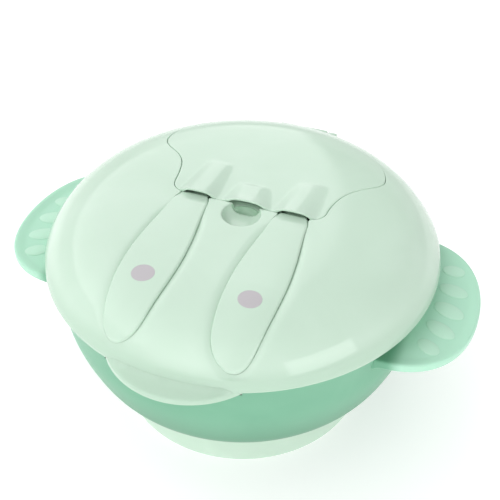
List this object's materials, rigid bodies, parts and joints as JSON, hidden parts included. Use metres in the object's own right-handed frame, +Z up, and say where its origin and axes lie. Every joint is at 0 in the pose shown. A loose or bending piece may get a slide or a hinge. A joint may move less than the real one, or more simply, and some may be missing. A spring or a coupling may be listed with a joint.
{
  "type": "suction bowl",
  "caption": "Baby feeding bowl with ear handles and a suction base, and a push-on lid whose hinged cover stores a spoon and a fork.",
  "frame": {"origin": "bottom centre of the suction cup, on the table", "axes": "+Z up, -Y to the front pull tab, +X to the right ear handle"},
  "size_m": [0.1716, 0.1504, 0.083],
  "materials": {
    "bowl_mint": "satin",
    "lid_mint": "satin",
    "grip_soft": "soft matt",
    "cup_soft": "soft matt",
    "hub_plastic": "satin",
    "seal_silicone": "translucent matt",
    "handle_mint": "satin",
    "head_soft": "soft matt"
  },
  "bodies": {
    "suction_base": {"suction_cup": "cup_soft", "base_hub": "hub_plastic"},
    "bowl": {"bowl_shell": "bowl_mint", "left_grip_pads": "grip_soft", "right_grip_pads": "grip_soft"},
    "lid": {"lid_shell": "lid_mint", "lid_seal_ring": "seal_silicone"},
    "cover": {"utensil_cover": "lid_mint"},
    "spoon": {"spoon_handle": "handle_mint", "spoon_bowl": "head_soft"},
    "fork": {"fork_handle": "handle_mint", "fork_tines": "head_soft"}
  },
  "joints": [
    {"name": "bowl_lift", "type": "slide", "parent": "suction_base", "child": "bowl", "axis": [0, 0, 1], "range_m": [0, 0.03]},
    {"name": "lid_lift", "type": "slide", "parent": "bowl", "child": "lid", "axis": [0, 0, 1], "range_m": [0, 0.06]},
    {"name": "cover_hinge", "type": "hinge", "parent": "lid", "child": "cover", "pos_m": [0, 0.0718, 0.0661], "axis": [-1, 0, 0], "range_deg": [0, 110]},
    {"name": "spoon_lift", "type": "slide", "parent": "lid", "child": "spoon", "axis": [0, 0, 1], "range_m": [0, 0.034]},
    {"name": "fork_lift", "type": "slide", "parent": "lid", "child": "fork", "axis": [0, 0, 1], "range_m": [0, 0.034]}
  ],
  "couplings": [
    {"joint": "spoon_lift", "follows": "cover_hinge", "m_per_rad": 0.017},
    {"joint": "fork_lift", "follows": "cover_hinge", "m_per_rad": 0.017}
  ]
}
